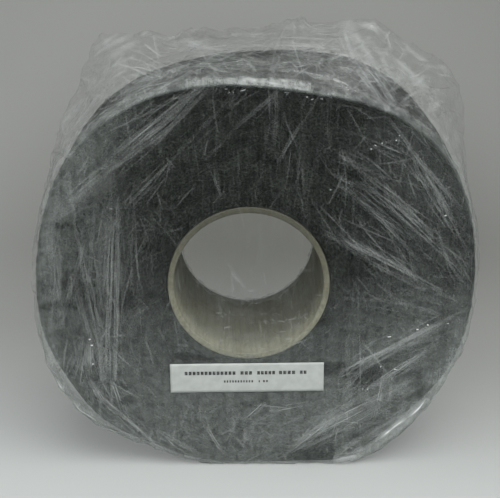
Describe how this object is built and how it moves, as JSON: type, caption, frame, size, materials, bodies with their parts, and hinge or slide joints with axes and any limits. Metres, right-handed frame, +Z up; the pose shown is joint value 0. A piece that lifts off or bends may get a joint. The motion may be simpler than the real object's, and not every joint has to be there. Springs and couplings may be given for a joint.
{
  "type": "wrapped roll of steel wool",
  "caption": "Roll of fine steel wool ribbon on a cardboard core, standing on its rim in crumpled clear film with a small paper label.",
  "frame": {"origin": "on the surface the roll stands on, under the core's axis, at mid width", "axes": "+Z up, +Y along the core's axis from the front, which has the label, to the back, +X to the right seen from the front"},
  "size_m": [0.3022, 0.1079, 0.3072],
  "materials": {
    "grey_board": "uncoated spiral-wound board",
    "fine_steel_wool": "fine matted steel fibre",
    "clear_film": "clear thin polyethylene film with crumples",
    "label_paper": "plain white office paper"
  },
  "bodies": {
    "root": {"cardboard_core": "grey_board", "steel_wool_roll": "fine_steel_wool", "film_wrap": "clear_film", "paper_label": "label_paper"}
  },
  "joints": []
}
